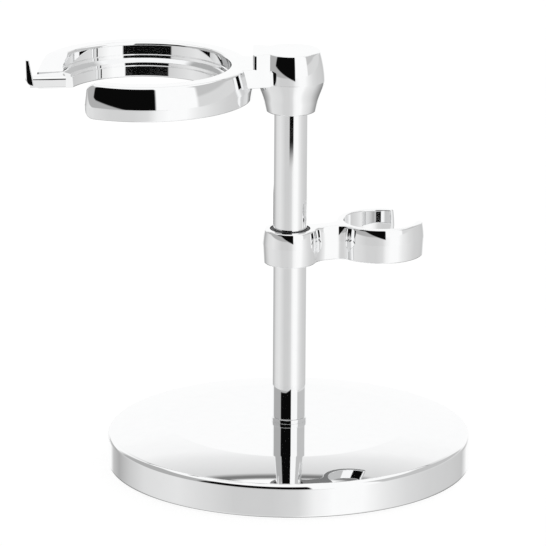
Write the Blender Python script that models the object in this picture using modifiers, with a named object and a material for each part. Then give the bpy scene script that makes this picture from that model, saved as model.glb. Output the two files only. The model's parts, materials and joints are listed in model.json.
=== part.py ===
"""Chromed shaving-set stand: weighted base, round post, bowl ring with a razor hook, and brush clip."""

import math

import bmesh
import bpy
from mathutils import Matrix, Vector

# Clearances, in metres like every size below
SEAT_GAP = 0.0003
RUNNING_GAP = 0.00012

# Base
BASE_RADIUS = 0.065
BASE_HEIGHT = 0.0166
BASE_EDGE_FILLET = 0.0015
BASE_FLAT_RADIUS = 0.043
BASE_SLOPE_START = math.radians(7)
BASE_SLOPE_END = math.radians(13)
BASE_WALL = 0.003
BASE_TOP_WALL = 0.0023
BASE_RIM_LIFT = 0.0008
BASE_RIM_FILLET = 0.0004
PAD_THICKNESS = 0.002
PAD_INSET = 0.0006

# Bolt that holds the post down
BOLT_RADIUS = 0.0025
BOLT_HEAD_RADIUS = 0.00475
BOLT_HEAD_HEIGHT = 0.0026
BOLT_HEAD_ROOM = 0.0004
BOLT_SOCKET_RADIUS = 0.0017
BOLT_SOCKET_DEPTH = 0.0015
BOLT_REACH = 0.014
BOLT_POCKET_MARGIN = 0.0015
WASHER_RADIUS = 0.0052
WASHER_THICKNESS = 0.001
LOCK_WASHER_RADIUS = 0.0046
LOCK_WASHER_THICKNESS = 0.0013
LOCK_WASHER_SPLIT = 0.0012

# Post
POST_RADIUS = 0.006
POST_WALL = 0.0012
POST_LENGTH = 0.1275
FOOT_RING_LIP = 0.0004
FOOT_RING_HEIGHT = 0.0008
FOOT_PLUG_LENGTH = 0.02
TOP_PLUG_LENGTH = 0.0135

# Swivelling head on top of the post; its walls are measured from the socket
HEAD_WALL = 0.006
HEAD_WAIST_WALL = 0.0035
HEAD_FOOT_WALL = 0.0028
HEAD_HEIGHT = 0.022
HEAD_CAP = 0.006
HEAD_BULGE_RADIUS = 0.041
HEAD_FLARE_TOP = 0.0095
HEAD_WAIST_HEIGHT = 0.0038
HEAD_TOP_FILLET = 0.0005
HEAD_FOOT_FILLET = 0.0007
HEAD_SCREW_HEIGHT = 0.0045
THRUST_WASHER_THICKNESS = 0.001
THRUST_WASHER_BORE = 0.0024

# Bowl ring
RING_RADIUS = 0.039
RING_HEIGHT = 0.012
RING_DROP = 0.0048
RING_CREST_HEIGHT = 0.0041
RING_LEAN_START = math.radians(8)
RING_LEAN_END = math.radians(18)
RING_UNDERCUT = math.radians(4)
RING_WALL = 0.0082
RING_LEDGE_WIDTH = 0.0034
RING_LEDGE_DROP = 0.0057
RING_LEDGE_FALL = 0.001
RING_STEP = 0.0005
RING_STEP_RISE = 0.0012
RING_EDGE_CHAMFER = 0.0008
RING_FRONT_END_ANGLE = math.radians(235)
NECK_LENGTH = 0.001
NECK_WIDTH = 0.0167
NECK_HEIGHT = 0.0066
NECK_TAPER = math.radians(12)
NECK_FILLET = 0.004
NECK_EDGE_FILLET = 0.0006
SHOULDER_LENGTH = 0.0014
TENON_RADIUS = 0.0025
TENON_FLOOR = 0.0012

# Razor hook on the open end of the ring
HOOK_WIDTH = 0.0075
HOOK_THICKNESS = 0.003
HOOK_INSET = 0.0005
HOOK_OVERHANG = 0.0019
HOOK_TIP_HEIGHT = 0.0085
HOOK_TIP_ROOT = 0.0026
HOOK_TIP_WIDTH = 0.0012
HOOK_CORNER = 0.0014
HOOK_DROP = 0.0064
HOOK_TURN = math.radians(10)
HOOK_SETBACK = 0.006

# Brush clip
CLIP_HEIGHT = 0.0124
CLIP_BOTTOM = 0.0755
CLIP_TURN = math.radians(22)
CLIP_RADIUS = 0.016
CLIP_WALL = 0.003
CLIP_MOUTH = math.radians(83)
CLIP_MOUTH_TURN = math.radians(10.5)
CLIP_FILLET = 0.004
CLIP_EDGE_FILLET = 0.0009
WEB_LENGTH = 0.0037
WEB_WIDTH = 0.007
COLLAR_WALL = 0.00251
COLLAR_FILLET = 0.006
BUSH_WALL = 0.001
BUSH_INSET = 0.0003

# Socket set screws
SET_SCREW_RADIUS = 0.002
SET_SCREW_SOCKET_RADIUS = 0.00115
SET_SCREW_SOCKET_DEPTH = 0.001
SET_SCREW_RECESS = 0.0004

# Facets
BASE_STEPS = 72
ROUND_STEPS = 36
RING_STEPS = 72
SCREW_STEPS = 24
HEXAGON = 6
FILLET_POINTS = 4
EDGE_POINTS = 5
CROWN_POINTS = 6
FLARE_POINTS = 6
BULGE_POINTS = 7
COLLAR_POINTS = 9
CLIP_POINTS = 11
CLIP_END_POINTS = 6
CLIP_BORE_POINTS = 13
BEVEL_SEGMENTS = 2
BEVEL_ANGLE = math.radians(50)
SMOOTH_ANGLE = math.radians(30)
WELD_DISTANCE = 0.000001

# Radii that follow from the sizes above
BOLT_HOLE = BOLT_RADIUS + SEAT_GAP
BASE_BORE = BASE_RADIUS - BASE_WALL
BASE_CROWN_RADIUS = BASE_RADIUS - BASE_EDGE_FILLET * (1 - math.sin(BASE_SLOPE_END))
BASE_BEND = (BASE_CROWN_RADIUS - BASE_FLAT_RADIUS) / (math.sin(BASE_SLOPE_END) - math.sin(BASE_SLOPE_START))
POST_BORE = POST_RADIUS - POST_WALL
FOOT_RING_RADIUS = POST_RADIUS + FOOT_RING_LIP
HEAD_SOCKET_RADIUS = POST_RADIUS + RUNNING_GAP
HEAD_RADIUS = HEAD_SOCKET_RADIUS + HEAD_WALL
HEAD_WAIST_RADIUS = HEAD_SOCKET_RADIUS + HEAD_WAIST_WALL
HEAD_FOOT_RADIUS = HEAD_SOCKET_RADIUS + HEAD_FOOT_WALL
TENON_HOLE_END = HEAD_SOCKET_RADIUS + TENON_FLOOR
RING_RECESS_RADIUS = RING_RADIUS - RING_WALL
RING_LIP_RADIUS = RING_RECESS_RADIUS - RING_LEDGE_WIDTH
RING_REACH = HEAD_RADIUS + NECK_LENGTH + RING_RADIUS
HOOK_BACK = HOOK_SETBACK + HOOK_WIDTH
BUSH_BORE = POST_RADIUS + RUNNING_GAP
BUSH_RADIUS = BUSH_BORE + BUSH_WALL
COLLAR_BORE = BUSH_RADIUS + RUNNING_GAP
COLLAR_RADIUS = COLLAR_BORE + COLLAR_WALL

# Heights that follow from the sizes above
BALLAST_BOTTOM = PAD_THICKNESS + SEAT_GAP
BASE_SHOULDER = BASE_HEIGHT - BASE_BEND * (math.cos(BASE_SLOPE_START) - math.cos(BASE_SLOPE_END))
BASE_EDGE_HEIGHT = BASE_SHOULDER - BASE_EDGE_FILLET * math.cos(BASE_SLOPE_END)
BASE_CEILING = BASE_SHOULDER - BASE_TOP_WALL
BALLAST_TOP = BASE_CEILING - SEAT_GAP
BOLT_HEAD_BOTTOM = PAD_THICKNESS + BOLT_HEAD_ROOM
BOLT_HEAD_TOP = BOLT_HEAD_BOTTOM + BOLT_HEAD_HEIGHT
LOCK_WASHER_BOTTOM = BOLT_HEAD_TOP + SEAT_GAP
LOCK_WASHER_TOP = LOCK_WASHER_BOTTOM + LOCK_WASHER_THICKNESS
WASHER_BOTTOM = LOCK_WASHER_TOP + SEAT_GAP
WASHER_TOP = WASHER_BOTTOM + WASHER_THICKNESS
BOLT_POCKET_TOP = WASHER_TOP + SEAT_GAP
FOOT_RING_BOTTOM = BASE_HEIGHT + SEAT_GAP
FOOT_RING_TOP = FOOT_RING_BOTTOM + FOOT_RING_HEIGHT
POST_BOTTOM = FOOT_RING_TOP + SEAT_GAP
POST_TOP = POST_BOTTOM + POST_LENGTH
THRUST_BOTTOM = POST_TOP + SEAT_GAP
THRUST_TOP = THRUST_BOTTOM + THRUST_WASHER_THICKNESS
HEAD_SOCKET_TOP = THRUST_TOP + SEAT_GAP
HEAD_TOP = HEAD_SOCKET_TOP + HEAD_CAP
HEAD_BOTTOM = HEAD_TOP - HEAD_HEIGHT
HEAD_BULGE_HEIGHT = HEAD_BOTTOM + HEAD_FLARE_TOP
RING_TOP = HEAD_TOP - RING_DROP
RING_BOTTOM = RING_TOP - RING_HEIGHT
TENON_HEIGHT = RING_TOP - NECK_HEIGHT / 2
HOOK_BAR_TOP = RING_TOP - HOOK_DROP
CLIP_TOP = CLIP_BOTTOM + CLIP_HEIGHT

# Finishes: colour, roughness, metallic
CHROME = ((0.86, 0.87, 0.88), 0.04, 1.0)
STEEL = ((0.55, 0.55, 0.56), 0.35, 1.0)
IRON = ((0.16, 0.16, 0.17), 0.6, 0.8)
BRASS = ((0.72, 0.56, 0.28), 0.3, 1.0)
FELT = ((0.03, 0.03, 0.035), 0.95, 0.0)
NYLON = ((0.035, 0.035, 0.038), 0.45, 0.0)


def clear_scene():
    for obj in list(bpy.data.objects):
        bpy.data.objects.remove(obj, do_unlink=True)


def new_collection(name):
    collection = bpy.data.collections.new(name)
    bpy.context.scene.collection.children.link(collection)
    return collection


def finish(obj, look):
    """Gives the part its own material and shades its round faces smooth."""
    colour, roughness, metallic = look
    material = bpy.data.materials.new(obj.name)
    material.use_nodes = True
    shader = material.node_tree.nodes["Principled BSDF"]
    shader.inputs["Base Color"].default_value = (*colour, 1.0)
    shader.inputs["Roughness"].default_value = roughness
    shader.inputs["Metallic"].default_value = metallic
    obj.data.materials.append(material)
    obj.data.shade_smooth()
    obj.data.set_sharp_from_angle(angle=SMOOTH_ANGLE)


def as_cutter(obj):
    parts.objects.unlink(obj)
    cutters.objects.link(obj)
    obj.hide_render = True
    obj.display_type = "WIRE"
    return obj


def new_part(name, mesh):
    obj = bpy.data.objects.new(name, mesh)
    parts.objects.link(obj)
    return obj


def arc(centre, radius, start, end, count=FILLET_POINTS):
    """Points along a circular arc, both ends included; angles in radians."""
    points = []
    for step in range(count + 1):
        turn = start + (end - start) * step / count
        points.append((centre[0] + radius * math.cos(turn), centre[1] + radius * math.sin(turn)))
    return points


def turned(name, outline, steps, closed=False):
    """A solid of revolution about Z. The outline lists (radius, height), outer side first, top to bottom."""
    mesh = bpy.data.meshes.new(name)
    edges = [(index, index + 1) for index in range(len(outline) - 1)]
    if closed:
        edges.append((len(outline) - 1, 0))
    mesh.from_pydata([(radius, 0.0, height) for radius, height in outline], edges, [])
    obj = new_part(name, mesh)
    screw = obj.modifiers.new("Turn", "SCREW")
    screw.axis = "Z"
    screw.angle = math.tau
    screw.steps = steps
    screw.render_steps = steps
    screw.use_merge_vertices = True
    screw.merge_threshold = WELD_DISTANCE
    return obj


def cylinder(name, radius, bottom, top, segments=ROUND_STEPS):
    """An upright cylinder on the Z axis."""
    mesh = bpy.data.meshes.new(name)
    shape = bmesh.new()
    bmesh.ops.create_cone(
        shape,
        cap_ends=True,
        segments=segments,
        radius1=radius,
        radius2=radius,
        depth=top - bottom,
        matrix=Matrix.Translation((0, 0, (bottom + top) / 2)),
    )
    shape.to_mesh(mesh)
    shape.free()
    return new_part(name, mesh)


def tube(name, radius, bore, bottom, top, steps=ROUND_STEPS):
    outline = [(bore, top), (radius, top), (radius, bottom), (bore, bottom)]
    return turned(name, outline, steps, closed=True)


def plate(name, loops, bottom, top):
    """A flat solid of the given plan outlines, as a mesh."""
    curve = bpy.data.curves.new(name, "CURVE")
    curve.dimensions = "2D"
    curve.fill_mode = "BOTH"
    curve.extrude = (top - bottom) / 2
    for loop in loops:
        spline = curve.splines.new("POLY")
        spline.points.add(len(loop) - 1)
        for point, place in zip(spline.points, loop):
            point.co = (place[0], place[1], 0.0, 1.0)
        spline.use_cyclic_u = True
    guide = new_part(name + "_outline", curve)
    evaluated = guide.evaluated_get(bpy.context.evaluated_depsgraph_get())
    mesh = bpy.data.meshes.new_from_object(evaluated)
    bpy.data.objects.remove(guide)
    shape = bmesh.new()
    shape.from_mesh(mesh)
    bmesh.ops.remove_doubles(shape, verts=shape.verts, dist=WELD_DISTANCE)
    bmesh.ops.dissolve_limit(shape, angle_limit=0.001, verts=shape.verts, edges=shape.edges)
    bmesh.ops.translate(shape, verts=shape.verts, vec=(0, 0, (bottom + top) / 2))
    shape.to_mesh(mesh)
    shape.free()
    mesh.name = name
    return new_part(name, mesh)


def combine(obj, other, operation):
    modifier = obj.modifiers.new(other.name, "BOOLEAN")
    modifier.object = as_cutter(other)
    modifier.operation = operation
    modifier.solver = "EXACT"


def round_edges(obj, width):
    bevel = obj.modifiers.new("Edges", "BEVEL")
    bevel.width = width
    bevel.segments = BEVEL_SEGMENTS
    bevel.limit_method = "ANGLE"
    bevel.angle_limit = BEVEL_ANGLE


def lay_along(obj, turn, height):
    """Lays a Z-axis shape on a level line from the post axis, at a turn about Z and a height."""
    lift = Matrix.Translation((0, 0, height))
    obj.matrix_world = lift @ Matrix.Rotation(turn, 4, "Z") @ Matrix.Rotation(math.pi / 2, 4, "Y")


def pivot(name, height):
    """An empty on the post axis that carries the pieces of one moving group."""
    empty = bpy.data.objects.new(name, None)
    parts.objects.link(empty)
    empty.location = (0, 0, height)
    return empty


def carry(empty, *pieces):
    """Parents pieces that are already in place, and their cutters, to a pivot."""
    bpy.context.view_layer.update()
    cutting = [step.object for piece in pieces for step in piece.modifiers if step.type == "BOOLEAN"]
    for carried in [*pieces, *cutting]:
        carried.parent = empty
        carried.matrix_parent_inverse = empty.matrix_world.inverted()


def make_base():
    """The weighted base: flat in the middle, with a crown that steepens towards the rounded edge."""
    crown_start = math.pi / 2 - BASE_SLOPE_START
    crown_end = math.pi / 2 - BASE_SLOPE_END
    crown_centre = (
        BASE_FLAT_RADIUS - BASE_BEND * math.cos(crown_start),
        BASE_HEIGHT - BASE_BEND * math.sin(crown_start),
    )
    crown = arc(crown_centre, BASE_BEND, crown_start, crown_end, CROWN_POINTS)
    edge_centre = (BASE_RADIUS - BASE_EDGE_FILLET, BASE_EDGE_HEIGHT)
    edge = arc(edge_centre, BASE_EDGE_FILLET, crown_end, 0, EDGE_POINTS)[1:]
    rim_centre = (BASE_RADIUS - BASE_RIM_FILLET, BASE_RIM_LIFT + BASE_RIM_FILLET)
    rim = arc(rim_centre, BASE_RIM_FILLET, 0, -math.pi / 2)
    inside = [(BASE_BORE, BASE_RIM_LIFT), (BASE_BORE, BASE_CEILING), (BOLT_HOLE, BASE_CEILING)]
    outline = [(BOLT_HOLE, BASE_HEIGHT)] + crown + edge + rim + inside
    shell = turned("base_shell", outline, BASE_STEPS, closed=True)
    finish(shell, CHROME)

    ballast_radius = BASE_BORE - SEAT_GAP
    pocket_radius = WASHER_RADIUS + BOLT_POCKET_MARGIN
    ballast_outline = [
        (BOLT_HOLE, BALLAST_TOP),
        (ballast_radius, BALLAST_TOP),
        (ballast_radius, BALLAST_BOTTOM),
        (pocket_radius, BALLAST_BOTTOM),
        (pocket_radius, BOLT_POCKET_TOP),
        (BOLT_HOLE, BOLT_POCKET_TOP),
    ]
    ballast = turned("base_ballast", ballast_outline, BASE_STEPS, closed=True)
    finish(ballast, IRON)

    pad = cylinder("base_pad", BASE_BORE - PAD_INSET, 0, PAD_THICKNESS, BASE_STEPS)
    finish(pad, FELT)


def make_bolt():
    washer = tube("bolt_washer", WASHER_RADIUS, BOLT_HOLE, WASHER_BOTTOM, WASHER_TOP)
    finish(washer, STEEL)

    lock = tube("bolt_lock_washer", LOCK_WASHER_RADIUS, BOLT_HOLE, LOCK_WASHER_BOTTOM, LOCK_WASHER_TOP)
    half_split = LOCK_WASHER_SPLIT / 2
    reach = LOCK_WASHER_RADIUS + SEAT_GAP
    split = [(0, -half_split), (reach, -half_split), (reach, half_split), (0, half_split)]
    slot = plate("lock_washer_split", [split], LOCK_WASHER_BOTTOM - SEAT_GAP, LOCK_WASHER_TOP + SEAT_GAP)
    combine(lock, slot, "DIFFERENCE")
    finish(lock, STEEL)

    tip = POST_BOTTOM + BOLT_REACH
    shank = [(0, tip), (BOLT_RADIUS, tip), (BOLT_RADIUS, BOLT_HEAD_TOP)]
    crown = arc((BOLT_HEAD_RADIUS - BOLT_HEAD_HEIGHT, BOLT_HEAD_TOP), BOLT_HEAD_HEIGHT, 0, -math.pi / 2)
    bolt = turned("post_bolt", shank + crown + [(0, BOLT_HEAD_BOTTOM)], ROUND_STEPS)
    socket_top = BOLT_HEAD_BOTTOM + BOLT_SOCKET_DEPTH
    socket = cylinder("bolt_socket", BOLT_SOCKET_RADIUS, BOLT_HEAD_BOTTOM - SEAT_GAP, socket_top, HEXAGON)
    combine(bolt, socket, "DIFFERENCE")
    finish(bolt, STEEL)


def make_post():
    foot_ring = tube("post_foot_ring", FOOT_RING_RADIUS, BOLT_HOLE, FOOT_RING_BOTTOM, FOOT_RING_TOP)
    finish(foot_ring, CHROME)
    post = tube("post_tube", POST_RADIUS, POST_BORE, POST_BOTTOM, POST_TOP)
    finish(post, CHROME)
    plug_radius = POST_BORE - SEAT_GAP
    foot_plug = tube("post_foot_plug", plug_radius, BOLT_HOLE, POST_BOTTOM, POST_BOTTOM + FOOT_PLUG_LENGTH)
    finish(foot_plug, BRASS)
    top_plug = cylinder("post_top_plug", plug_radius, POST_TOP - TOP_PLUG_LENGTH, POST_TOP)
    finish(top_plug, BRASS)


def set_screw(name, inner, outer, turn, height):
    """A socket set screw on a level line from the post axis, from the inner to the outer radius."""
    screw = cylinder(name, SET_SCREW_RADIUS, inner, outer, SCREW_STEPS)
    floor = outer - SET_SCREW_SOCKET_DEPTH
    socket = cylinder(name + "_socket", SET_SCREW_SOCKET_RADIUS, floor, outer + SEAT_GAP, HEXAGON)
    combine(screw, socket, "DIFFERENCE")
    finish(screw, STEEL)
    lay_along(screw, turn, height)
    lay_along(socket, turn, height)
    return screw


def screw_hole(obj, reach, turn, height):
    hole = cylinder(obj.name + "_screw_hole", SET_SCREW_RADIUS + SEAT_GAP, 0, reach, SCREW_STEPS)
    lay_along(hole, turn, height)
    combine(obj, hole, "DIFFERENCE")


def head_bulge(outset, top):
    """The head's bulged side, set out by a length, from a height down, and its upper angle."""
    radius = HEAD_BULGE_RADIUS + outset
    upper = math.asin((top - HEAD_BULGE_HEIGHT) / radius)
    return arc((HEAD_RADIUS - HEAD_BULGE_RADIUS, HEAD_BULGE_HEIGHT), radius, upper, 0, BULGE_POINTS), upper


def make_head():
    """The turned boss that sits on the post and carries the bowl ring."""
    rear = math.pi / 2
    waist = HEAD_BOTTOM + HEAD_WAIST_HEIGHT
    edge_line, edge_turn = head_bulge(-HEAD_TOP_FILLET, HEAD_TOP - HEAD_TOP_FILLET)
    top_edge = arc(edge_line[0], HEAD_TOP_FILLET, math.pi / 2, edge_turn)
    bulge, _ = head_bulge(0, top_edge[-1][1])
    flare = []
    for step in range(1, FLARE_POINTS + 1):
        share = step / FLARE_POINTS
        ease = share * share * (3 - 2 * share)
        radius = HEAD_RADIUS + (HEAD_WAIST_RADIUS - HEAD_RADIUS) * ease
        flare.append((radius, HEAD_BULGE_HEIGHT + (waist - HEAD_BULGE_HEIGHT) * share))
    foot_centre = (HEAD_FOOT_RADIUS - HEAD_FOOT_FILLET, HEAD_BOTTOM + HEAD_FOOT_FILLET)
    foot = arc(foot_centre, HEAD_FOOT_FILLET, 0, -math.pi / 2)
    socket = [(HEAD_SOCKET_RADIUS, HEAD_BOTTOM), (HEAD_SOCKET_RADIUS, HEAD_SOCKET_TOP), (0, HEAD_SOCKET_TOP)]
    outline = [(0, HEAD_TOP)] + top_edge + bulge[1:] + flare + foot + socket
    head = turned("swivel_head", outline, ROUND_STEPS)
    screw_height = HEAD_BOTTOM + HEAD_SCREW_HEIGHT
    screw_hole(head, HEAD_RADIUS, rear, screw_height)
    outside = HEAD_RADIUS + SEAT_GAP
    tenon_hole = cylinder("tenon_hole", TENON_RADIUS + SEAT_GAP, TENON_HOLE_END, outside, SCREW_STEPS)
    lay_along(tenon_hole, math.pi, TENON_HEIGHT)
    combine(head, tenon_hole, "DIFFERENCE")
    finish(head, CHROME)

    thrust_radius = POST_RADIUS - SEAT_GAP
    thrust = tube("head_thrust_washer", thrust_radius, THRUST_WASHER_BORE, THRUST_BOTTOM, THRUST_TOP)
    finish(thrust, NYLON)

    screw_start = HEAD_SOCKET_RADIUS + RUNNING_GAP
    screw = set_screw("head_set_screw", screw_start, HEAD_FOOT_RADIUS - SET_SCREW_RECESS, rear, screw_height)
    return [head, thrust, screw]


def ring_outline():
    """Section of the bowl ring: crested outside that leans in above the crest, stepped seat inside."""
    corner = RING_EDGE_CHAMFER
    crest = RING_BOTTOM + RING_CREST_HEIGHT
    lean_height = RING_TOP - corner - crest
    lean_radius = lean_height / (math.sin(RING_LEAN_END) - math.sin(RING_LEAN_START))
    lean_centre = (
        RING_RADIUS - lean_radius * math.cos(RING_LEAN_START),
        crest - lean_radius * math.sin(RING_LEAN_START),
    )
    outside = arc(lean_centre, lean_radius, RING_LEAN_END, RING_LEAN_START, BULGE_POINTS)
    foot_radius = RING_RADIUS - RING_CREST_HEIGHT * math.tan(RING_UNDERCUT)
    ledge = RING_TOP - RING_LEDGE_DROP
    ledge_edge = ledge - RING_LEDGE_FALL
    inside = [
        (foot_radius, RING_BOTTOM + corner),
        (foot_radius - corner, RING_BOTTOM),
        (RING_LIP_RADIUS + corner, RING_BOTTOM),
        (RING_LIP_RADIUS, RING_BOTTOM + corner),
        (RING_LIP_RADIUS, ledge_edge - RING_STEP_RISE),
        (RING_LIP_RADIUS + RING_STEP, ledge_edge - RING_STEP_RISE),
        (RING_LIP_RADIUS + RING_STEP, ledge_edge),
        (RING_RECESS_RADIUS - RING_STEP, ledge),
        (RING_RECESS_RADIUS - RING_STEP, ledge + RING_STEP_RISE),
        (RING_RECESS_RADIUS, ledge + RING_STEP_RISE),
        (RING_RECESS_RADIUS, RING_TOP - corner),
        (RING_RECESS_RADIUS + corner, RING_TOP),
    ]
    return [(outside[0][0] - corner, RING_TOP)] + outside + inside


def neck_half_width(along):
    """Half the neck's width at a distance from the post axis."""
    return NECK_WIDTH / 2 + along * math.tan(NECK_TAPER)


def neck_outline():
    """Plan of the neck: it leaves the ring in two fillets, narrows, and ends under the head."""
    root_radius = RING_RADIUS - 2 * RING_EDGE_CHAMFER
    slope = Vector((math.cos(NECK_TAPER), math.sin(NECK_TAPER)))
    outward = Vector((math.sin(NECK_TAPER), -math.cos(NECK_TAPER)))
    start = Vector((RING_REACH, -neck_half_width(0))) + outward * NECK_FILLET
    along = start.dot(slope)
    reach = root_radius + NECK_FILLET
    centre = start + slope * (math.sqrt(along**2 - start.length_squared + reach**2) - along)
    first = math.atan2(-centre.y, -centre.x)
    side = arc((centre.x - RING_REACH, centre.y), NECK_FILLET, first, NECK_TAPER + math.pi / 2)
    side.append((0, -neck_half_width(0)))
    return side + [(x, -y) for x, y in reversed(side)]


def shoulder_outline():
    """Plan of the neck's raised end, which comes up flush with the head."""
    end = HEAD_RADIUS + SHOULDER_LENGTH
    side = [(-end, -neck_half_width(end)), (0, -neck_half_width(0))]
    return side + [(x, -y) for x, y in reversed(side)]


def beside_hook(along, across):
    """A plan point about the ring's centre, given along the hook's bar and across it."""
    cosine = math.cos(HOOK_TURN)
    sine = math.sin(HOOK_TURN)
    return -along * cosine - across * sine, across * cosine - along * sine


def cut_ring_open(ring):
    """Opens the ring between its front end and the hook; the end behind the hook rises in a ramp."""
    far = 2 * RING_RADIUS
    near = RING_LIP_RADIUS / 2
    end_line = HOOK_BACK + SEAT_GAP
    front_end = (math.cos(RING_FRONT_END_ANGLE), math.sin(RING_FRONT_END_ANGLE))
    wedge = [
        beside_hook(near, end_line),
        beside_hook(far, end_line),
        (-far, far * front_end[1]),
        (far * front_end[0], far * front_end[1]),
        (near * front_end[0], near * front_end[1]),
    ]
    above = RING_TOP + SEAT_GAP
    gap = plate("ring_gap", [wedge], RING_BOTTOM - SEAT_GAP, above)
    gap.location.x = -RING_REACH
    combine(ring, gap, "DIFFERENCE")

    rise = above - HOOK_BAR_TOP + SEAT_GAP
    slope = [(HOOK_BACK, above - rise), (HOOK_BACK + rise, above), (HOOK_BACK, above)]
    ramp = plate("ring_end_ramp", [slope], -far, -near)
    stand_up = Matrix.Rotation(HOOK_TURN + math.pi / 2, 4, "Z") @ Matrix.Rotation(math.pi / 2, 4, "X")
    ramp.matrix_world = Matrix.Translation((-RING_REACH, 0, 0)) @ stand_up
    combine(ring, ramp, "DIFFERENCE")


def make_ring():
    """The open bowl ring with the neck that joins it to the head."""
    ring = turned("bowl_ring", ring_outline(), RING_STEPS, closed=True)
    ring.location.x = -RING_REACH

    neck = plate("neck", [neck_outline()], RING_TOP - NECK_HEIGHT, RING_TOP)
    round_edges(neck, NECK_EDGE_FILLET)
    combine(ring, neck, "UNION")
    shoulder = plate("shoulder", [shoulder_outline()], RING_TOP - NECK_HEIGHT / 2, HEAD_TOP)
    combine(ring, shoulder, "UNION")

    above_head = HEAD_TOP + SEAT_GAP
    room_side, _ = head_bulge(SEAT_GAP, above_head)
    room_foot = [(HEAD_RADIUS + SEAT_GAP, HEAD_BOTTOM), (0, HEAD_BOTTOM)]
    head_room = turned("head_room", [(0, above_head)] + room_side + room_foot, ROUND_STEPS)
    combine(ring, head_room, "DIFFERENCE")
    tenon_root = HEAD_RADIUS + NECK_LENGTH + TENON_RADIUS
    tenon = cylinder("tenon", TENON_RADIUS, TENON_HOLE_END + SEAT_GAP, tenon_root, SCREW_STEPS)
    lay_along(tenon, math.pi, TENON_HEIGHT)
    combine(ring, tenon, "UNION")
    cut_ring_open(ring)
    finish(ring, CHROME)
    return ring


def make_hook():
    """The L-shaped razor hook, drawn upright along its bar and pulled across it."""
    root = RING_LIP_RADIUS - HOOK_INSET
    reach = RING_RADIUS + HOOK_OVERHANG
    bottom = HOOK_BAR_TOP - HOOK_THICKNESS
    tip_top = bottom + HOOK_TIP_HEIGHT
    corner = arc((HOOK_CORNER - reach, bottom + HOOK_CORNER), HOOK_CORNER, math.pi, 1.5 * math.pi)
    outline = corner + [
        (-root, bottom),
        (-root, HOOK_BAR_TOP),
        (HOOK_TIP_ROOT - reach, HOOK_BAR_TOP),
        (HOOK_TIP_WIDTH - reach, tip_top),
        (-reach, tip_top),
    ]
    hook = plate("razor_hook", [outline], -HOOK_BACK, -HOOK_SETBACK)
    stand_up = Matrix.Rotation(HOOK_TURN, 4, "Z") @ Matrix.Rotation(math.pi / 2, 4, "X")
    hook.matrix_world = Matrix.Translation((-RING_REACH, 0, 0)) @ stand_up
    finish(hook, CHROME)
    return hook


def fillet_centre(radius, fillet):
    """Where a fillet lies that joins a round of the given radius to the web: along, across."""
    across = WEB_WIDTH / 2 + fillet
    along = math.sqrt((radius + fillet) ** 2 - across**2)
    return along, across


def clip_half(end_angle):
    """Plan of one side of the brush clip along X: collar, web, and ring up to its end beside the mouth."""
    collar_along, across = fillet_centre(COLLAR_RADIUS, COLLAR_FILLET)
    collar_turn = math.atan2(across, collar_along)
    ring_along, ring_across = fillet_centre(CLIP_RADIUS, CLIP_FILLET)
    ring_turn = math.atan2(ring_across, ring_along)
    ring_start = collar_along + WEB_LENGTH
    ring_centre = (ring_start + ring_along, 0)
    middle = CLIP_RADIUS - CLIP_WALL / 2
    end = (ring_centre[0] + middle * math.cos(end_angle), -middle * math.sin(end_angle))
    end_turn = math.tau - end_angle

    half = arc((0, 0), COLLAR_RADIUS, math.pi, math.tau - collar_turn, COLLAR_POINTS)
    half += arc((collar_along, -across), COLLAR_FILLET, math.pi - collar_turn, math.pi / 2)
    half += arc((ring_start, -ring_across), CLIP_FILLET, math.pi / 2, ring_turn)
    half += arc(ring_centre, CLIP_RADIUS, math.pi + ring_turn, end_turn, CLIP_POINTS)
    half += arc(end, CLIP_WALL / 2, end_turn, end_turn + math.pi, CLIP_END_POINTS)[1:-1]
    half += arc(ring_centre, CLIP_RADIUS - CLIP_WALL, end_turn, math.pi, CLIP_BORE_POINTS)
    return half


def clip_outline():
    """Plan of the whole brush clip; its mouth is turned to the rear, so the front side is the longer one."""
    front = clip_half(CLIP_MOUTH / 2 - CLIP_MOUTH_TURN)
    rear = clip_half(CLIP_MOUTH / 2 + CLIP_MOUTH_TURN)
    return front + [(along, -side) for along, side in reversed(rear[1:-1])]


def make_brush_clip():
    side = math.pi / 2
    middle = (CLIP_BOTTOM + CLIP_TOP) / 2
    clip = plate("brush_clip", [clip_outline()], CLIP_BOTTOM, CLIP_TOP)
    round_edges(clip, CLIP_EDGE_FILLET)
    bore = cylinder("collar_bore", COLLAR_BORE, CLIP_BOTTOM - SEAT_GAP, CLIP_TOP + SEAT_GAP)
    combine(clip, bore, "DIFFERENCE")
    screw_hole(clip, COLLAR_RADIUS + SEAT_GAP, side, middle)
    finish(clip, CHROME)
    screw_start = COLLAR_BORE + RUNNING_GAP
    screw = set_screw("clip_set_screw", screw_start, COLLAR_RADIUS - SET_SCREW_RECESS, side, middle)
    bush = tube("clip_bush", BUSH_RADIUS, BUSH_BORE, CLIP_BOTTOM + BUSH_INSET, CLIP_TOP - BUSH_INSET)
    finish(bush, NYLON)
    return clip, screw, bush


clear_scene()
parts = new_collection("shaving_set_stand")
cutters = new_collection("cutters")
make_base()
make_bolt()
make_post()
carry(pivot("bowl_swivel", HEAD_BOTTOM), *make_head(), make_ring(), make_hook())
brush_clip, clip_screw, clip_bush = make_brush_clip()
brush_slide = pivot("brush_slide", CLIP_BOTTOM)
brush_swivel = pivot("brush_swivel", CLIP_BOTTOM)
carry(brush_slide, clip_bush, brush_swivel)
carry(brush_swivel, brush_clip, clip_screw)
brush_swivel.rotation_euler.z = CLIP_TURN
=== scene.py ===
"""Looks of the chromed shaving-set stand: fine polished surfaces, finishes, studio and camera."""

import json
import math

import bmesh
import bpy
from mathutils import Matrix, Vector

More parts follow.
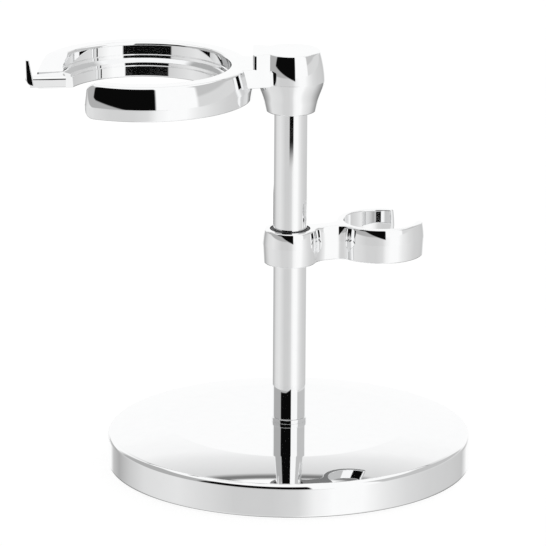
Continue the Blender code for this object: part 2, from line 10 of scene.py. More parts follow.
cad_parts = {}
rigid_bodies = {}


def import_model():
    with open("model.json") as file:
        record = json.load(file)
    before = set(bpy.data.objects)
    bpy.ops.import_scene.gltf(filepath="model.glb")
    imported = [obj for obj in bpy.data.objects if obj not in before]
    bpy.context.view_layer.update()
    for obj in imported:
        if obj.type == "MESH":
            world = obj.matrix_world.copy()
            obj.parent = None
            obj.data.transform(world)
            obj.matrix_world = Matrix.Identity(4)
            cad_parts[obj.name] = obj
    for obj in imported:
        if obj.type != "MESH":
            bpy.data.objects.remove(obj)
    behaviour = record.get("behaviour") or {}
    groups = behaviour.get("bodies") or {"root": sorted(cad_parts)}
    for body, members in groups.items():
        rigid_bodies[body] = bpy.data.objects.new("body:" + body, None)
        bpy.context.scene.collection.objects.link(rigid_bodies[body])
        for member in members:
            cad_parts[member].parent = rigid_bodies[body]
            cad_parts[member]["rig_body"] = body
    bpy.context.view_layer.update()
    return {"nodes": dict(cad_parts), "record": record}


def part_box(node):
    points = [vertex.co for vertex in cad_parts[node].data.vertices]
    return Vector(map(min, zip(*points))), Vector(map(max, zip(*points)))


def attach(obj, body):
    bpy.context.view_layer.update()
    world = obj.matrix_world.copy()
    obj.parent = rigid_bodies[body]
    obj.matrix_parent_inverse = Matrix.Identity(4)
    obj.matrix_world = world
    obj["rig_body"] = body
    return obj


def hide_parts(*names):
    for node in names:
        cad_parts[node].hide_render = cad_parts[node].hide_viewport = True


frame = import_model()

# Base, in metres like every size below
BASE_BORE = 0.062
BASE_TOP_WALL = 0.0023
BASE_EDGE_FILLET = 0.002
BASE_FLAT_RADIUS = 0.043
BASE_SLOPE_START = math.radians(7)
BASE_SLOPE_END = math.radians(13)
BASE_RIM_FILLET = 0.001
BOLT_HOLE = 0.0028

# Post
POST_BORE = 0.0048
POST_EDGE = 0.0003
FOOT_RING_EDGE = 0.0001

# Head
HEAD_BULGE_RADIUS = 0.041
HEAD_FLARE_TOP = 0.0095
HEAD_BULGE_END = math.radians(2.6)
HEAD_FLARE_EASE = 0.4
HEAD_WAIST_HEIGHT = 0.0038
HEAD_WAIST_RADIUS = 0.00962
HEAD_FOOT_RADIUS = 0.00892
HEAD_TOP_FILLET = 0.0005
HEAD_FOOT_FILLET = 0.0007
HEAD_SOCKET_RADIUS = 0.00612
HEAD_SOCKET_DEPTH = 0.016
HEAD_SCREW_HEIGHT = 0.0045
SCREW_HOLE_RADIUS = 0.0023

# Bowl ring: the outside leans in above its crest and a little below it
RING_REACH = 0.05212
RING_DROP = 0.0048
RING_CREST_HEIGHT = 0.0041
RING_LEAN_START = math.radians(8)
RING_LEAN_END = math.radians(18)
RING_UNDERCUT = math.radians(4)
RING_TOP_EDGE = 0.0012
RING_BOTTOM_EDGE = 0.0006
RING_RECESS_RADIUS = 0.0308
RING_LIP_RADIUS = 0.0274
RING_LEDGE_DROP = 0.0057
RING_LEDGE_FALL = 0.001
RING_STEP = 0.0005
RING_STEP_RISE = 0.0012
RING_INNER_EDGE = 0.0011
RING_CREASE = 0.00015
RING_FRONT_END = math.radians(236.5)
RING_REAR_END = math.radians(172)
RING_END_FILLET = 0.0045
RING_END_SLANT = 0.0012

# Neck between ring and head, narrower towards the head and towards its top
NECK_WIDTH = 0.0149
NECK_HEIGHT = 0.0066
NECK_TAPER = math.radians(16)
NECK_BULGE_RADIUS = 0.0315
NECK_LENGTH = 0.018
NECK_TOP_EDGE = 0.0004
NECK_BOTTOM_EDGE = 0.0006
SHOULDER_LENGTH = 0.0014
SHOULDER_CORNER = 0.0012

# Razor hook
HOOK_TURN = math.radians(10)
HOOK_SETBACK = 0.006
HOOK_WIDTH = 0.0075
HOOK_ROOT = 0.0269
HOOK_REACH = 0.0409
HOOK_BAR = 0.0038
HOOK_DRAFT = math.radians(3)
HOOK_TAPER = 0.003
HOOK_SKEW = math.radians(3)
HOOK_BROW = 0.0012
HOOK_EDGE = 0.0004
HOOK_CORNER = 0.0018
HOOK_TIP_FOOT = 0.001
HOOK_TIP_RISE = 0.0012
HOOK_TIP_ROOT = 0.0026
HOOK_TIP_WIDTH = 0.0012
HOOK_TIP_LEAN = math.radians(14)
HOOK_TIP_EDGE = 0.0003
HOOK_GAP = 0.0003

# Brush clip
CLIP_TURN = math.radians(22)
CLIP_REACH = 0.0348
CLIP_RADIUS = 0.016
CLIP_WALL = 0.003
CLIP_FRONT_END = math.radians(31)
CLIP_REAR_END = math.radians(52)
CLIP_FILLET = 0.004
CLIP_EDGE = 0.0005
CLIP_BULGE_RADIUS = 0.033
CLIP_BULGE_DEPTH = 0.0071
CLIP_BULGE_END = math.radians(2.6)
CLIP_DRAFT = math.radians(3)
COLLAR_RADIUS = 0.00975
COLLAR_BORE = 0.00724
COLLAR_FILLET = 0.006
WEB_WIDTH = 0.007

# Facets, cuts and shading
ROUND_STEPS = 192
ARC_STEPS = 24
EDGE_STEPS = 6
SMOOTH_ANGLE = math.radians(35)
FACE_WEIGHT = 100
FACE_AREA_MATCH = 0.00000001
CREASE_ROW = 0.00002
CUT_MARGIN = 0.0003
WELD = 0.0000005

# Camera, with its lens and sensor in millimetres
CAMERA_PLACE = (-0.006, -1.85, 0.6)
CAMERA_DROP = math.radians(15.95)
CAMERA_ROLL = math.radians(0.33)
CAMERA_LENS = 355.3
CAMERA_SENSOR = 36.0


def arc(centre, radius, start, end, steps=EDGE_STEPS):
    """Points along a circular arc, both ends included; angles in radians."""
    points = []
    for step in range(steps + 1):
        turn = start + (end - start) * step / steps
        points.append((centre[0] + radius * math.cos(turn), centre[1] + radius * math.sin(turn)))
    return points


def rounded(corners):
    """A closed outline from corners (x, y, fillet radius)."""
    outline = []
    for index, (x, y, radius) in enumerate(corners):
        if radius == 0:
            outline.append((x, y))
            continue
        here = Vector((x, y))
        before = (Vector(corners[index - 1][:2]) - here).normalized()
        after = (Vector(corners[(index + 1) % len(corners)][:2]) - here).normalized()
        half = before.angle(after) / 2
        middle = here + (before + after).normalized() * (radius / math.sin(half))
        first = here + before * (radius / math.tan(half)) - middle
        last = here + after * (radius / math.tan(half)) - middle
        start = math.atan2(first.y, first.x)
        sweep = math.atan2(last.y, last.x) - start
        sweep = (sweep + math.pi) % math.tau - math.pi
        outline += arc(middle, radius, start, start + sweep)
    return outline


def round_over(depth, radius):
    """How far a rounded edge is set in, at a depth from the face that it leads to."""
    if depth >= radius:
        return 0.0
    return radius * (1 - math.sqrt(1 - (1 - depth / radius) ** 2))


def edge_depths(radius):
    """Depths across a rounded edge, closer together where it bends most."""
    return [radius * (1 - math.cos(math.pi / 2 * step / EDGE_STEPS)) for step in range(EDGE_STEPS + 1)]


def new_piece(name, shape):
    """Turns a bmesh into a smooth-shaded object with its faces pointing out."""
    bmesh.ops.remove_doubles(shape, verts=shape.verts, dist=WELD)
    bmesh.ops.recalc_face_normals(shape, faces=shape.faces)
    mesh = bpy.data.meshes.new(name)
    shape.to_mesh(mesh)
    shape.free()
    mesh.shade_smooth()
    mesh.set_sharp_from_angle(angle=SMOOTH_ANGLE)
    piece = bpy.data.objects.new(name, mesh)
    bpy.context.scene.collection.objects.link(piece)
    return piece


def turned(name, outline):
    """A solid of revolution about Z from a closed outline of (radius, height)."""
    shape = bmesh.new()
    verts = [shape.verts.new((radius, 0, height)) for radius, height in outline]
    edges = []
    for index, vert in enumerate(verts):
        following = verts[(index + 1) % len(verts)]
        if vert.co.x > 0 or following.co.x > 0:
            edges.append(shape.edges.new((vert, following)))
    bmesh.ops.spin(
        shape, geom=verts + edges, axis=(0, 0, 1), angle=math.tau, steps=ROUND_STEPS, use_merge=True
    )
    return new_piece(name, shape)


def lofted(name, loops):
    """Skins a row of loops that have the same number of points, and closes both ends."""
    shape = bmesh.new()
    rows = [[shape.verts.new(point) for point in loop] for loop in loops]
    count = len(rows[0])
    for lower, upper in zip(rows, rows[1:]):
        for index in range(count):
            following = (index + 1) % count
            shape.faces.new((lower[index], lower[following], upper[following], upper[index]))
    shape.faces.new(reversed(rows[0]))
    shape.faces.new(rows[-1])
    return new_piece(name, shape)


def combine(piece, other, operation):
    """Applies a Boolean to the piece and removes the other solid."""
    step = piece.modifiers.new("Combine", "BOOLEAN")
    step.object = other
    step.operation = operation
    step.solver = "EXACT"
    depsgraph = bpy.context.evaluated_depsgraph_get()
    mesh = bpy.data.meshes.new_from_object(piece.evaluated_get(depsgraph))
    piece.modifiers.clear()
    piece.data = mesh
    bpy.data.objects.remove(other)
    mesh.shade_smooth()
    mesh.set_sharp_from_angle(angle=SMOOTH_ANGLE)


def rod(name, radius, start, end, turn, height):
    """A level round bar on a line from the post axis, from the start to the end distance."""
    shape = bmesh.new()
    stand = Matrix.Rotation(turn, 4, "Z") @ Matrix.Rotation(math.pi / 2, 4, "Y")
    place = Matrix.Translation((0, 0, height)) @ stand @ Matrix.Translation((0, 0, (start + end) / 2))
    bmesh.ops.create_cone(
        shape,
        cap_ends=True,
        segments=ROUND_STEPS // 2,
        radius1=radius,
        radius2=radius,
        depth=end - start,
        matrix=place,
    )
    return new_piece(name, shape)


def plug(name, radius, bottom, top):
    """A round bar on the post axis."""
    return turned(name, [(0, top), (radius, top), (radius, bottom), (0, bottom)])


def dress(piece, node):
    """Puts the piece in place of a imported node, on the node's body and in chrome."""
    flatten = piece.modifiers.new("Flat faces stay flat beside round edges", "WEIGHTED_NORMAL")
    flatten.weight = FACE_WEIGHT
    flatten.thresh = FACE_AREA_MATCH
    flatten.keep_sharp = True
    piece.data.materials.clear()
    piece.data.materials.append(FINISHES["chrome"])
    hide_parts(node)
    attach(piece, frame["nodes"][node]["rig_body"])


# Base, post and head


def base_outline():
    """Flat in the middle, with a crown that steepens towards the rounded edge."""
    low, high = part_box("base_shell")
    radius = high.x
    crown_radius = radius - BASE_EDGE_FILLET * (1 - math.sin(BASE_SLOPE_END))
    bend = (crown_radius - BASE_FLAT_RADIUS) / (math.sin(BASE_SLOPE_END) - math.sin(BASE_SLOPE_START))
    crown_start = math.pi / 2 - BASE_SLOPE_START
    crown_end = math.pi / 2 - BASE_SLOPE_END
    crown_centre = (BASE_FLAT_RADIUS - bend * math.cos(crown_start), high.z - bend * math.sin(crown_start))
    crown = arc(crown_centre, bend, crown_start, crown_end, ARC_STEPS)
    shoulder = crown[-1][1]
    edge_centre = (radius - BASE_EDGE_FILLET, shoulder - BASE_EDGE_FILLET * math.cos(BASE_SLOPE_END))
    edge = arc(edge_centre, BASE_EDGE_FILLET, crown_end, 0, ARC_STEPS)[1:]
    rim = arc((radius - BASE_RIM_FILLET, low.z + BASE_RIM_FILLET), BASE_RIM_FILLET, 0, -math.pi / 2)
    ceiling = shoulder - BASE_TOP_WALL
    inside = [(BASE_BORE, low.z), (BASE_BORE, ceiling), (BOLT_HOLE, ceiling)]
    return [(BOLT_HOLE, high.z)] + crown + edge + rim + inside


def tube_outline(radius, bore, bottom, top, edge):
    return rounded([(bore, top, 0), (radius, top, edge), (radius, bottom, edge), (bore, bottom, 0)])


def make_foot_ring():
    """The thin ring that fills the space between the base and the post."""
    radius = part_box("post_foot_ring")[1].x
    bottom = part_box("base_shell")[1].z
    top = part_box("post_tube")[0].z
    return turned("chrome_foot_ring", tube_outline(radius, BOLT_HOLE, bottom, top, FOOT_RING_EDGE))


def make_post():
    low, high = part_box("post_tube")
    return turned("chrome_post", tube_outline(high.x, POST_BORE, low.z, high.z, POST_EDGE))


def head_side():
    """The head's outside from its top to its foot: bulged, then drawn in to a waist."""
    low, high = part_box("swivel_head")
    radius = high.x
    bulge_centre = (radius - HEAD_BULGE_RADIUS, low.z + HEAD_FLARE_TOP)
    edge_radius = HEAD_BULGE_RADIUS - HEAD_TOP_FILLET
    upper = math.asin((high.z - HEAD_TOP_FILLET - bulge_centre[1]) / edge_radius)
    edge_centre = (bulge_centre[0] + edge_radius * math.cos(upper), high.z - HEAD_TOP_FILLET)
    side = arc(edge_centre, HEAD_TOP_FILLET, math.pi / 2, upper)
    side += arc(bulge_centre, HEAD_BULGE_RADIUS, upper, HEAD_BULGE_END, ARC_STEPS)[1:]
    flare_radius, flare_top = side[-1]
    waist = low.z + HEAD_WAIST_HEIGHT
    shares = [CREASE_ROW / (flare_top - waist)] + [step / ARC_STEPS for step in range(1, ARC_STEPS + 1)]
    for share in shares:
        soft_share = share * share * (3 - 2 * share)
        ease = share + HEAD_FLARE_EASE * (soft_share - share)
        height = flare_top + (waist - flare_top) * share
        side.append((flare_radius + (HEAD_WAIST_RADIUS - flare_radius) * ease, height))
    foot_centre = (HEAD_FOOT_RADIUS - HEAD_FOOT_FILLET, low.z + HEAD_FOOT_FILLET)
    return [(0, high.z)] + side + arc(foot_centre, HEAD_FOOT_FILLET, 0, -math.pi / 2)


def head_outline():
    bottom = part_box("swivel_head")[0].z
    socket_top = bottom + HEAD_SOCKET_DEPTH
    return head_side() + [(HEAD_SOCKET_RADIUS, bottom), (HEAD_SOCKET_RADIUS, socket_top), (0, socket_top)]


def make_head():
    low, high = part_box("swivel_head")
    head = turned("chrome_head", head_outline())
    hole = rod("hole", SCREW_HOLE_RADIUS, 0, high.x, math.pi / 2, low.z + HEAD_SCREW_HEIGHT)
    combine(head, hole, "DIFFERENCE")
    return head


# Bowl ring and hook


def ring_top():
    """Height of the ring's top, below the neck's shoulder that comes up to the head's top."""
    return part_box("swivel_head")[1].z - RING_DROP


def ring_section():
    """Section of the bowl ring as (radius, height): crested outside, stepped seat inside."""
    low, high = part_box("bowl_ring")
    radius = high.y
    top = ring_top()
    crest = low.z + RING_CREST_HEIGHT
    lean_height = top - RING_TOP_EDGE / 2 - crest
    lean_radius = lean_height / (math.sin(RING_LEAN_END) - math.sin(RING_LEAN_START))
    lean_centre = (
        radius - lean_radius * math.cos(RING_LEAN_START),
        crest - lean_radius * math.sin(RING_LEAN_START),
    )
    lean = arc(lean_centre, lean_radius, RING_LEAN_END, RING_LEAN_START, ARC_STEPS)
    top_radius = lean[0][0] - RING_TOP_EDGE / 2 * math.tan(RING_LEAN_END)
    ledge = top - RING_LEDGE_DROP
    ledge_edge = ledge - RING_LEDGE_FALL
    step_bottom = ledge_edge - RING_STEP_RISE
    step_top = ledge + RING_STEP_RISE
    outside = [(x, y, 0) for x, y in lean[1:]]
    inside = [
        (RING_LIP_RADIUS, low.z, RING_BOTTOM_EDGE),
        (RING_LIP_RADIUS, step_bottom, RING_CREASE),
        (RING_LIP_RADIUS + RING_STEP, step_bottom, RING_CREASE),
        (RING_LIP_RADIUS + RING_STEP, ledge_edge, RING_CREASE),
        (RING_RECESS_RADIUS - RING_STEP, ledge, RING_CREASE),
        (RING_RECESS_RADIUS - RING_STEP, step_top, RING_CREASE),
        (RING_RECESS_RADIUS, step_top, RING_CREASE),
        (RING_RECESS_RADIUS, top, RING_INNER_EDGE),
    ]
    bottom_radius = radius - RING_CREST_HEIGHT * math.tan(RING_UNDERCUT)
    top_corner = (top_radius, top, RING_TOP_EDGE)
    bottom_corner = (bottom_radius, low.z, RING_BOTTOM_EDGE)
    return rounded([top_corner] + outside + [bottom_corner] + inside)


def ring_loop(section, shrink, turn):
    """The ring's section at a turn about the ring's centre, shrunk by a length all round."""
    low = Vector((min(radius for radius, _ in section), min(height for _, height in section)))
    high = Vector((max(radius for radius, _ in section), max(height for _, height in section)))
    middle = (low + high) / 2
    scale = Vector((1 - 2 * shrink / (high.x - low.x), 1 - 2 * shrink / (high.y - low.y)))
    loop = []
    for radius, height in section:
        near = middle.x + (radius - middle.x) * scale.x
        level = middle.y + (height - middle.y) * scale.y
        loop.append((near * math.cos(turn) - RING_REACH, near * math.sin(turn), level))
    return loop


def ring_loops():
    """The section carried round from the rounded front end to behind the hook."""
    section = ring_section()
    middle_radius = (RING_LIP_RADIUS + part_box("bowl_ring")[1].y) / 2
    full = RING_FRONT_END + RING_END_FILLET / middle_radius
    loops = []
    for depth in edge_depths(RING_END_FILLET):
        shrink = round_over(depth, RING_END_FILLET)
        loops.append(ring_loop(section, shrink, RING_FRONT_END + depth / middle_radius))
    for step in range(1, ROUND_STEPS + 1):
        turn = full + (math.tau + RING_REAR_END - full) * step / ROUND_STEPS
        loops.append(ring_loop(section, 0, turn))
    return loops


def neck_half_width(along, inset):
    """Half the neck's width at a distance from the post axis."""
    return NECK_WIDTH / 2 + along * math.tan(NECK_TAPER) - inset


def neck_loop(inset, height):
    """Plan of the neck, from inside the ring's wall to inside the head."""
    outer = neck_half_width(NECK_LENGTH, inset)
    inner = neck_half_width(0, inset)
    return [
        (-NECK_LENGTH, -outer, height),
        (0, -inner, height),
        (0, inner, height),
        (-NECK_LENGTH, outer, height),
    ]


def shoulder_loop(inset, height):
    """Plan of the shoulder at the head, which comes up to the head's top."""
    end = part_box("swivel_head")[1].x + SHOULDER_LENGTH
    outer = neck_half_width(end, inset)
    inner = neck_half_width(0, inset)
    outline = rounded([
        (-end, -outer, SHOULDER_CORNER),
        (0, -inner, 0),
        (0, inner, 0),
        (-end, outer, SHOULDER_CORNER),
    ])
    return [(x, y, height) for x, y in outline]


def raised(name, loop, bottom, top):
    """A block of the given plan whose sides bulge as the head does, with rounded edges."""
    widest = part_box("swivel_head")[0].z + HEAD_FLARE_TOP
    heights = [bottom + depth for depth in edge_depths(NECK_BOTTOM_EDGE)]
    foot, crown = heights[-1], top - NECK_TOP_EDGE
    heights += [foot + (crown - foot) * step / ARC_STEPS for step in range(1, ARC_STEPS)]
    heights += [top - depth for depth in reversed(edge_depths(NECK_TOP_EDGE))]
    loops = []
    for height in heights:
        above = height - widest
        inset = NECK_BULGE_RADIUS - math.sqrt(NECK_BULGE_RADIUS**2 - above**2)
        inset += round_over(top - height, NECK_TOP_EDGE)
        inset += round_over(height - bottom, NECK_BOTTOM_EDGE)
        loops.append(loop(inset, height))
    return lofted(name, loops)


def beside_hook(along, across, height):
    """A point given along the hook's bar from the ring's centre, across the bar, and up."""
    cosine = math.cos(HOOK_TURN)
    sine = math.sin(HOOK_TURN)
    return (-along * cosine - across * sine - RING_REACH, across * cosine - along * sine, height)


def ring_opening():
    """The space before the ring's rear end, with the ramp that rises behind the hook's bar."""
    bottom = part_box("bowl_ring")[0].z - CUT_MARGIN
    above = ring_top() + CUT_MARGIN
    bar_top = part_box("razor_hook")[0].z + HOOK_BAR
    end_line = HOOK_SETBACK + HOOK_WIDTH + HOOK_GAP
    section = [
        (-HOOK_WIDTH, bottom),
        (end_line + RING_END_SLANT, bottom),
        (end_line, bar_top),
        (end_line + above - bar_top, above),
        (-HOOK_WIDTH, above),
    ]
    ends = (RING_LIP_RADIUS / 2, 2 * RING_LIP_RADIUS)
    return lofted("opening", [[beside_hook(along, *point) for point in section] for along in ends])


def head_room():
    """The space that the head fills, open at its top."""
    low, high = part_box("swivel_head")
    side = head_side()[1:]
    above = high.z + CUT_MARGIN
    return turned("head_room", [(0, above), (side[0][0], above)] + side + [(0, low.z)])


def make_ring():
    """The bowl ring with its neck and shoulder, cut away for the head and before the hook."""
    top = ring_top()
    bottom = top - NECK_HEIGHT
    head_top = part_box("swivel_head")[1].z
    ring = lofted("chrome_bowl_ring", ring_loops())
    combine(ring, raised("neck", neck_loop, bottom, top), "UNION")
    combine(ring, raised("shoulder", shoulder_loop, bottom, head_top), "UNION")
    combine(ring, head_room(), "DIFFERENCE")
    combine(ring, ring_opening(), "DIFFERENCE")
    return ring


def hook_bar():
    """The hook's bar, with a broad round along its upper front edge."""
    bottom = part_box("razor_hook")[0].z
    top = bottom + HOOK_BAR
    loops = []
    for along, taper in ((HOOK_ROOT, 0.0), (HOOK_REACH - HOOK_TIP_ROOT / 2, HOOK_TAPER)):
        back = HOOK_SETBACK + HOOK_WIDTH - taper
        front = HOOK_SETBACK + (along - HOOK_ROOT) * math.tan(HOOK_SKEW)
        section = rounded([
            (front + HOOK_BAR * math.tan(HOOK_DRAFT), bottom, HOOK_EDGE),
            (front, top, HOOK_BROW),
            (back, top, HOOK_EDGE),
            (back, bottom, HOOK_EDGE),
        ])
        loops.append([beside_hook(along, across, height) for across, height in section])
    return lofted("bar", loops)


def make_hook():
    """The L-shaped razor hook: its upturned tip leans back and faces the front squarely."""
    low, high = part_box("razor_hook")
    back = HOOK_SETBACK + HOOK_WIDTH - HOOK_TAPER
    foot = low.z + HOOK_TIP_FOOT
    tip = high.z + HOOK_TIP_RISE
    slant = math.tan(HOOK_TURN)
    heights = [foot + depth for depth in edge_depths(HOOK_CORNER)]
    heights += [tip - depth for depth in reversed(edge_depths(HOOK_TIP_EDGE))]
    loops = []
    for height in heights:
        share = (height - foot) / (tip - foot)
        edge = round_over(tip - height, HOOK_TIP_EDGE)
        outer = HOOK_REACH - round_over(height - foot, HOOK_CORNER) - edge
        inner = HOOK_REACH - HOOK_TIP_ROOT + (HOOK_TIP_ROOT - HOOK_TIP_WIDTH) * share + edge
        front = HOOK_SETBACK + (height - foot) * math.tan(HOOK_TIP_LEAN) + edge
        section = rounded([
            (inner, front + (inner - HOOK_REACH) * slant, HOOK_TIP_EDGE),
            (outer, front + (outer - HOOK_REACH) * slant, HOOK_TIP_EDGE),
            (outer, back - edge, HOOK_TIP_EDGE),
            (inner, back - edge, HOOK_TIP_EDGE),
        ])
        loops.append([beside_hook(along, across, height) for along, across in section])
    hook = lofted("chrome_hook", loops)
    combine(hook, hook_bar(), "UNION")
    return hook


# Brush clip


def fillet_centre(radius, fillet, half_web):
    """Where a fillet lies that joins a round of the given radius to the web: along, across."""
    across = half_web + fillet
    return math.sqrt((radius + fillet) ** 2 - across**2), across


def clip_half(outset, inset, end_angle):
    """Plan of one side of the clip along X, with its outside and its inside set into the wall."""
    half_web = WEB_WIDTH / 2 - outset
    collar = COLLAR_RADIUS - outset
    outer = CLIP_RADIUS - outset
    inner = CLIP_RADIUS - CLIP_WALL + inset
    collar_fillet = COLLAR_FILLET + outset
    clip_fillet = CLIP_FILLET + outset
    collar_along, collar_across = fillet_centre(collar, collar_fillet, half_web)
    ring_along, ring_across = fillet_centre(outer, clip_fillet, half_web)
    collar_turn = math.atan2(collar_across, collar_along)
    ring_turn = math.atan2(ring_across, ring_along)
    collar_hollow = (collar_along, -collar_across)
    clip_hollow = (CLIP_REACH - ring_along, -ring_across)
    ring_centre = (CLIP_REACH, 0)
    middle = (outer + inner) / 2
    end_centre = (CLIP_REACH + middle * math.cos(end_angle), -middle * math.sin(end_angle))
    end_turn = math.tau - end_angle
    fine = 2 * ARC_STEPS

    half = arc((0, 0), collar, math.pi, math.tau - collar_turn, fine)
    half += arc(collar_hollow, collar_fillet, math.pi - collar_turn, math.pi / 2, ARC_STEPS)
    half += arc(clip_hollow, clip_fillet, math.pi / 2, ring_turn, ARC_STEPS)
    half += arc(ring_centre, outer, math.pi + ring_turn, end_turn, fine)[1:]
    half += arc(end_centre, (outer - inner) / 2, end_turn, end_turn + math.pi, ARC_STEPS)[1:-1]
    half += arc(ring_centre, inner, end_turn, math.pi, fine)
    return half


def clip_loop(outset, inset, height):
    """Plan of the whole clip at one height; its mouth is turned to the rear."""
    front = clip_half(outset, inset, CLIP_FRONT_END)
    rear = clip_half(outset, inset, CLIP_REAR_END)
    outline = front + [(x, -y) for x, y in reversed(rear[1:-1])]
    turn = Matrix.Rotation(CLIP_TURN, 3, "Z")
    return [turn @ Vector((x, y, height)) for x, y in outline]


def clip_widest():
    """Depth below the clip's top at which the bulge ends and the straight draft starts."""
    return CLIP_BULGE_DEPTH - CLIP_BULGE_RADIUS * math.sin(CLIP_BULGE_END)


def clip_bulge(depth):
    """How far the clip's outside is set in at a depth below its top."""
    widest = clip_widest()
    bend = CLIP_BULGE_DEPTH - min(depth, widest)
    bulge = CLIP_BULGE_RADIUS - math.sqrt(CLIP_BULGE_RADIUS**2 - bend**2)
    return bulge + max(depth - widest, 0) * math.tan(CLIP_DRAFT)


def make_clip():
    """The brush clip, bulged on the outside and plain on the inside."""
    low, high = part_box("brush_clip")
    widest = clip_widest()
    depths = edge_depths(CLIP_EDGE)
    depths += [CLIP_EDGE + (widest - CLIP_EDGE) * step / ARC_STEPS for step in range(1, ARC_STEPS)]
    depths += [widest - CREASE_ROW, widest]
    depths += [high.z - low.z - depth for depth in reversed(edge_depths(CLIP_EDGE))]
    loops = []
    for depth in depths:
        height = high.z - depth
        edge = round_over(depth, CLIP_EDGE) + round_over(height - low.z, CLIP_EDGE)
        loops.append(clip_loop(clip_bulge(depth) + edge, edge, height))
    clip = lofted("chrome_brush_clip", loops)
    combine(clip, plug("bore", COLLAR_BORE, low.z - CLIP_EDGE, high.z + CLIP_EDGE), "DIFFERENCE")
    rear = CLIP_TURN + math.pi / 2
    hole = rod("hole", SCREW_HOLE_RADIUS, 0, COLLAR_RADIUS + CLIP_EDGE, rear, (low.z + high.z) / 2)
    combine(clip, hole, "DIFFERENCE")
    return clip


# Finishes: grain and haze by noise in the object's own space
GRAIN_DETAIL = 4.0
GRAIN_DEPTH = 0.0001
HAZE_SCALE = 240.0
HAZE_DETAIL = 2.0
CHROME_DARK = (0.945, 0.95, 0.955)
CHROME_LIGHT = (0.975, 0.978, 0.98)
CHROME_SMOOTH = 0.012
CHROME_ROUGH = 0.03


def put(tree, kind, inputs=None, **settings):
    """Adds a node with its settings and fills its inputs with values or with other nodes' outputs."""
    node = tree.nodes.new(kind)
    for name, value in settings.items():
        setattr(node, name, value)
    for name, value in (inputs or {}).items():
        if isinstance(value, bpy.types.NodeSocket):
            tree.links.new(value, node.inputs[name])
        else:
            node.inputs[name].default_value = value
    return node


def between(tree, value, low, high, start=0.0, end=1.0):
    """Maps a value from start and end to low and high, and stops there."""
    limits = {"Value": value, "From Min": start, "From Max": end, "To Min": low, "To Max": high}
    return put(tree, "ShaderNodeMapRange", limits).outputs["Result"]


def noise(tree, scale, detail, stretch=(1, 1, 1)):
    """Noise over the object's own space; a stretch below 1 draws it out along that axis."""
    place = put(tree, "ShaderNodeTexCoord").outputs["Object"]
    mapped = put(tree, "ShaderNodeMapping", {"Vector": place, "Scale": stretch}).outputs["Vector"]
    cloud = put(tree, "ShaderNodeTexNoise", {"Vector": mapped, "Scale": scale, "Detail": detail})
    return cloud.outputs["Fac"]


def shades(tree, factor, dark, light):
    """A colour between two others."""
    mix = put(tree, "ShaderNodeMix", {0: factor, 6: (*dark, 1), 7: (*light, 1)}, data_type="RGBA")
    return mix.outputs[2]


def new_material(name, metallic):
    material = bpy.data.materials.new(name)
    material.use_nodes = True
    shader = material.node_tree.nodes["Principled BSDF"]
    shader.inputs["Metallic"].default_value = metallic
    return material, material.node_tree, shader


def grained(name, metallic, dark, light, rough, smooth, scale, bump, stretch=(1, 1, 1)):
    """A finish whose colour, roughness and relief all follow one grain."""
    material, tree, shader = new_material(name, metallic)
    grain = noise(tree, scale, GRAIN_DETAIL, stretch)
    relief = put(tree, "ShaderNodeBump", {"Height": grain, "Strength": bump, "Distance": GRAIN_DEPTH})
    tree.links.new(shades(tree, grain, dark, light), shader.inputs["Base Color"])
    tree.links.new(between(tree, grain, rough, smooth), shader.inputs["Roughness"])
    tree.links.new(relief.outputs["Normal"], shader.inputs["Normal"])
    return material


def chrome():
    """Bright chrome plate with the faint haze of polishing."""
    material, tree, shader = new_material("chrome", 1.0)
    haze = noise(tree, HAZE_SCALE, HAZE_DETAIL)
    tree.links.new(shades(tree, haze, CHROME_DARK, CHROME_LIGHT), shader.inputs["Base Color"])
    tree.links.new(between(tree, haze, CHROME_SMOOTH, CHROME_ROUGH), shader.inputs["Roughness"])
    return material


def steel():
    """Zinc-plated screws and washers."""
    return grained(
        "steel", metallic=1.0, dark=(0.5, 0.5, 0.51), light=(0.62, 0.62, 0.63),
        rough=0.4, smooth=0.25, scale=2500.0, bump=0.15,
    )


def iron():
    """Cast iron as it leaves the mould."""
    return grained(
        "iron", metallic=0.6, dark=(0.1, 0.1, 0.105), light=(0.2, 0.2, 0.21),
        rough=0.75, smooth=0.5, scale=900.0, bump=0.8,
    )


def brass():
    """Machined brass, its grain drawn out along the post."""
    return grained(
        "brass", metallic=1.0, dark=(0.66, 0.5, 0.23), light=(0.78, 0.62, 0.33),
        rough=0.4, smooth=0.22, scale=1800.0, bump=0.2, stretch=(1, 1, 0.1),
    )


def felt():
    """Black felt."""
    return grained(
        "felt", metallic=0.0, dark=(0.012, 0.012, 0.014), light=(0.06, 0.06, 0.066),
        rough=1.0, smooth=0.85, scale=3500.0, bump=1.0,
    )


def nylon():
    """Black moulded nylon."""
    return grained(
        "nylon", metallic=0.0, dark=(0.025, 0.025, 0.027), light=(0.05, 0.05, 0.053),
        rough=0.55, smooth=0.35, scale=1500.0, bump=0.2,
    )


FINISHES = {
    "chrome": chrome(),
    "steel": steel(),
    "iron": iron(),
    "brass": brass(),
    "felt": felt(),
    "nylon": nylon(),
}


